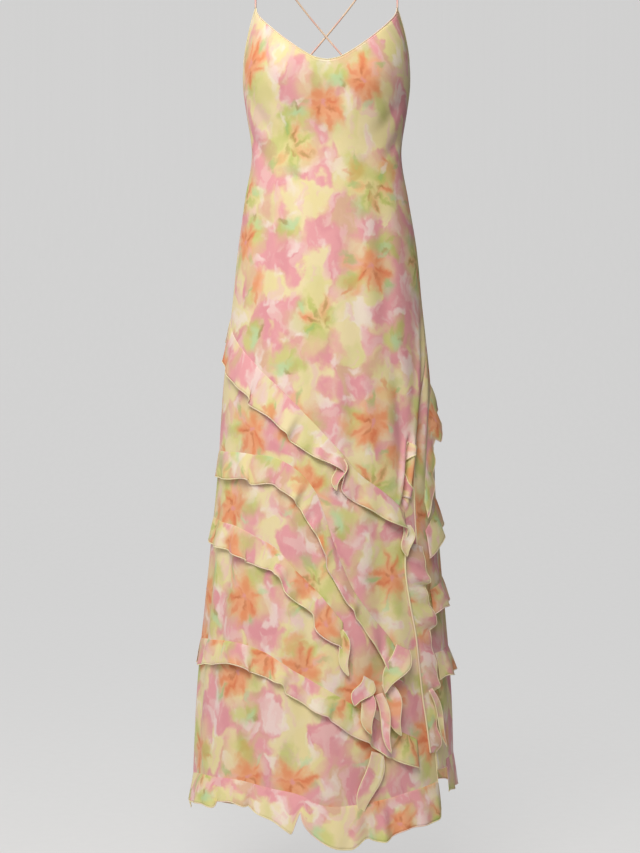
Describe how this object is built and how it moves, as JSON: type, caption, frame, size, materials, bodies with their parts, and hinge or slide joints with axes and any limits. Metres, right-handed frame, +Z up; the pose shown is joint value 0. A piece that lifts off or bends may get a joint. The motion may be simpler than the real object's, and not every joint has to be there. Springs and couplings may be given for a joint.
{
  "type": "full-length slip dress with flounces",
  "caption": "Full-length slip dress in blurred floral chiffon, with a V neck, cord straps crossed at the back, slanting flounces and a slit on the wearer's left.",
  "frame": {"origin": "midway between the tops of the two straps, where the wearer's shoulders hold the dress", "axes": "+Z up along the body, -Y out of the front of the dress, +X towards the wearer's left"},
  "size_m": [0.4645, 0.4402, 1.468],
  "materials": {
    "printed_panel_cloth": "soft matte chiffon",
    "printed_flounce_cloth": "soft matte chiffon",
    "strap_cord": "soft matte cord"
  },
  "bodies": {
    "root": {"front_panel": "printed_panel_cloth", "back_panel": "printed_panel_cloth", "flounce_front_1": "printed_flounce_cloth", "flounce_front_2": "printed_flounce_cloth", "flounce_front_3": "printed_flounce_cloth", "flounce_front_4": "printed_flounce_cloth", "hem_flounce_front": "printed_flounce_cloth", "flounce_back_1": "printed_flounce_cloth", "flounce_back_2": "printed_flounce_cloth", "flounce_back_3": "printed_flounce_cloth", "flounce_back_4": "printed_flounce_cloth", "hem_flounce_back": "printed_flounce_cloth", "slit_flounce_upper": "printed_flounce_cloth", "slit_flounce_lower": "printed_flounce_cloth", "strap_left": "strap_cord", "strap_right": "strap_cord"}
  },
  "joints": []
}
